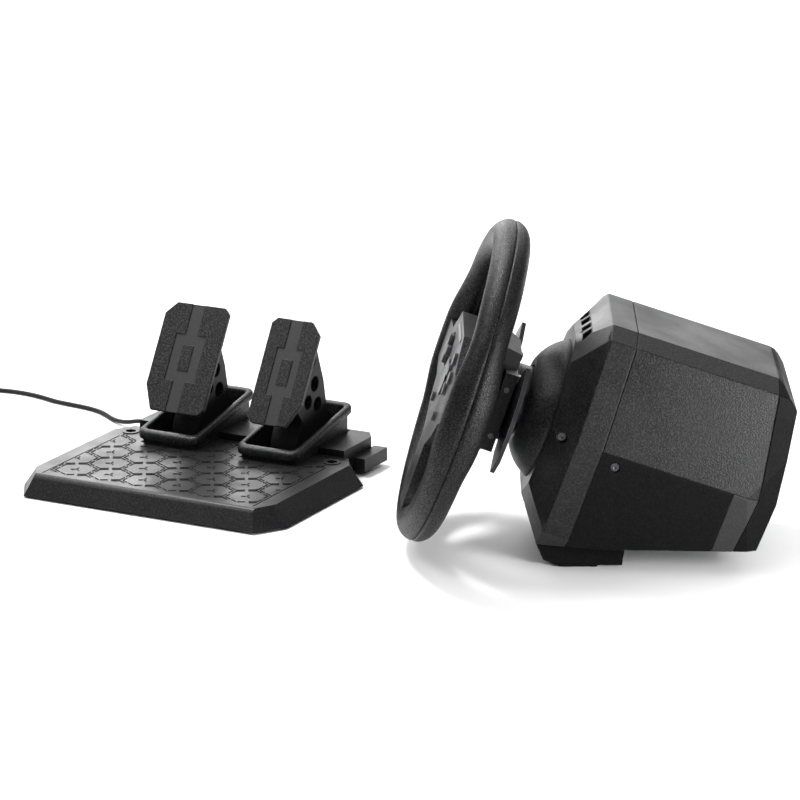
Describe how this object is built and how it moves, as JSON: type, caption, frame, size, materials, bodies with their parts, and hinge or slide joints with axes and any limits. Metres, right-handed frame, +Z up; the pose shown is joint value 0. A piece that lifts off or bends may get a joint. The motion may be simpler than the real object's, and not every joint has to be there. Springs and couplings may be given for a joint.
{
  "type": "racing wheel",
  "caption": "Desk racing wheel with tilted force-feedback base and shift paddles, and a pedal set on a foot plate with its cord.",
  "frame": {"origin": "centre of the flat underside of the block that hangs over the desk's front edge", "axes": "+Z up; +Y the way the driver looks, from the rim towards the base's rear; +X to the driver's right"},
  "size_m": [0.613, 0.7588, 0.2769],
  "materials": {
    "rim_grip": "fine leather-like grain, satin",
    "black_grain": "moulded fine grain, matt",
    "black_gloss": "smooth, semi-gloss",
    "dark_grey": "fine grain, satin",
    "core_plastic": "glass-filled moulding",
    "dark_metal": "satin black coating",
    "steel": "turned and ground",
    "aluminium": "die-cast",
    "black_rubber": "matt",
    "board_green": "circuit board",
    "button_plastic": "smooth",
    "led_lens": "smoked lens",
    "cord_pvc": "matt PVC"
  },
  "bodies": {
    "base": {"nose_cone": "black_grain", "front_bezel": "black_grain", "upper_shell": "black_grain", "lower_shell": "black_grain", "rear_skirt": "dark_grey", "rear_cap": "black_gloss", "usb_socket": "steel", "pedal_socket": "black_gloss", "power_socket": "black_gloss", "front_block": "black_grain", "base_feet": "black_rubber", "bearing_frame": "aluminium", "bearings": "steel", "motor": "steel", "drive_belt": "black_rubber", "main_pcb": "board_green", "casing_screws": "steel"},
    "wheel": {"wheel_frame": "core_plastic", "rim_front_shell": "rim_grip", "rim_rear_shell": "rim_grip", "wheel_faceplate": "black_grain", "center_cap": "black_gloss", "led_window": "led_lens", "wheel_pcb": "board_green", "hub_rear_cover": "dark_grey", "paddle_carriers": "black_grain", "paddle_pins": "steel", "carrier_screws": "steel", "column_collar": "dark_metal", "main_shaft": "steel", "driven_pulley": "core_plastic"},
    "motor_rotor": {"motor_pulley": "steel"},
    "action_top": {"action_button_top": "button_plastic"},
    "action_right": {"action_button_right": "button_plastic"},
    "action_bottom": {"action_button_bottom": "button_plastic"},
    "action_left": {"action_button_left": "button_plastic"},
    "menu_left": {"menu_button_left": "button_plastic"},
    "menu_right": {"menu_button_right": "button_plastic"},
    "dpad_gimbal": {"dpad_pivot": "core_plastic"},
    "dpad": {"dpad": "button_plastic"},
    "left_paddle": {"paddle_left": "dark_metal"},
    "right_paddle": {"paddle_right": "dark_metal"},
    "pedal_base": {"foot_plate": "black_grain", "pedal_chassis": "black_grain", "bottom_cover": "core_plastic", "pedal_feet": "black_rubber", "brake_housing": "black_grain", "gas_housing": "black_grain", "pedal_pins": "steel", "pedal_springs": "steel", "pedal_sensors": "board_green", "cord_gland": "black_rubber", "cord_run": "cord_pvc", "cord_coil": "cord_pvc", "cord_plug": "black_gloss"},
    "brake_pedal": {"brake_arm": "core_plastic", "brake_face": "black_grain"},
    "gas_pedal": {"gas_arm": "core_plastic", "gas_face": "black_grain"}
  },
  "joints": [
    {"name": "wheel_spin", "type": "hinge", "parent": "base", "child": "wheel", "pos_m": [0, -0.095, 0.1437], "axis": [0, 0.9478, -0.319], "range_deg": [-450, 450]},
    {"name": "motor_spin", "type": "hinge", "parent": "base", "child": "motor_rotor", "pos_m": [0.045, 0.06471, 0.14798], "axis": [0, 0.9478, -0.319], "range_deg": [-2930, 2930]},
    {"name": "action_top_press", "type": "slide", "parent": "wheel", "child": "action_top", "axis": [0, 0.9478, -0.319], "range_m": [0, 0.0012], "stiffness_N_per_m": 300, "springref_m": -0.001},
    {"name": "action_right_press", "type": "slide", "parent": "wheel", "child": "action_right", "axis": [0, 0.9478, -0.319], "range_m": [0, 0.0012], "stiffness_N_per_m": 300, "springref_m": -0.001},
    {"name": "action_bottom_press", "type": "slide", "parent": "wheel", "child": "action_bottom", "axis": [0, 0.9478, -0.319], "range_m": [0, 0.0012], "stiffness_N_per_m": 300, "springref_m": -0.001},
    {"name": "action_left_press", "type": "slide", "parent": "wheel", "child": "action_left", "axis": [0, 0.9478, -0.319], "range_m": [0, 0.0012], "stiffness_N_per_m": 300, "springref_m": -0.001},
    {"name": "menu_left_press", "type": "slide", "parent": "wheel", "child": "menu_left", "axis": [0, 0.9478, -0.319], "range_m": [0, 0.001], "stiffness_N_per_m": 200, "springref_m": -0.001},
    {"name": "menu_right_press", "type": "slide", "parent": "wheel", "child": "menu_right", "axis": [0, 0.9478, -0.319], "range_m": [0, 0.001], "stiffness_N_per_m": 200, "springref_m": -0.001},
    {"name": "dpad_side_rock", "type": "hinge", "parent": "wheel", "child": "dpad_gimbal", "pos_m": [-0.04, -0.10255, 0.1589], "axis": [0, 0.319, 0.9478], "range_deg": [-5, 5], "stiffness_Nm_per_rad": 0.02},
    {"name": "dpad_up_rock", "type": "hinge", "parent": "dpad_gimbal", "child": "dpad", "pos_m": [-0.04, -0.10255, 0.1589], "axis": [1, 0, 0], "range_deg": [-5, 5], "stiffness_Nm_per_rad": 0.02},
    {"name": "left_paddle_pull", "type": "hinge", "parent": "wheel", "child": "left_paddle", "pos_m": [-0.037, -0.05671, 0.13081], "axis": [0, 0.319, 0.9478], "range_deg": [0, 5], "stiffness_Nm_per_rad": 0.6, "springref_deg": -5.73},
    {"name": "right_paddle_pull", "type": "hinge", "parent": "wheel", "child": "right_paddle", "pos_m": [0.037, -0.05671, 0.13081], "axis": [0, -0.319, -0.9478], "range_deg": [0, 5], "stiffness_Nm_per_rad": 0.6, "springref_deg": -5.73},
    {"name": "pedal_set_place", "type": "slide", "parent": "base", "child": "pedal_base", "axis": [0, -1, 0], "range_m": [0, 0.35]},
    {"name": "brake_press", "type": "hinge", "parent": "pedal_base", "child": "brake_pedal", "pos_m": [-0.28053, -0.32159, 0.02], "axis": [-0.4695, -0.8829, 0], "range_deg": [0, 15], "stiffness_Nm_per_rad": 6, "springref_deg": -8.59},
    {"name": "gas_press", "type": "hinge", "parent": "pedal_base", "child": "gas_pedal", "pos_m": [-0.23358, -0.2333, 0.02], "axis": [-0.4695, -0.8829, 0], "range_deg": [0, 16], "stiffness_Nm_per_rad": 3, "springref_deg": -8.59}
  ],
  "couplings": [
    {"joint": "motor_spin", "follows": "wheel_spin", "ratio": 6.5}
  ]
}
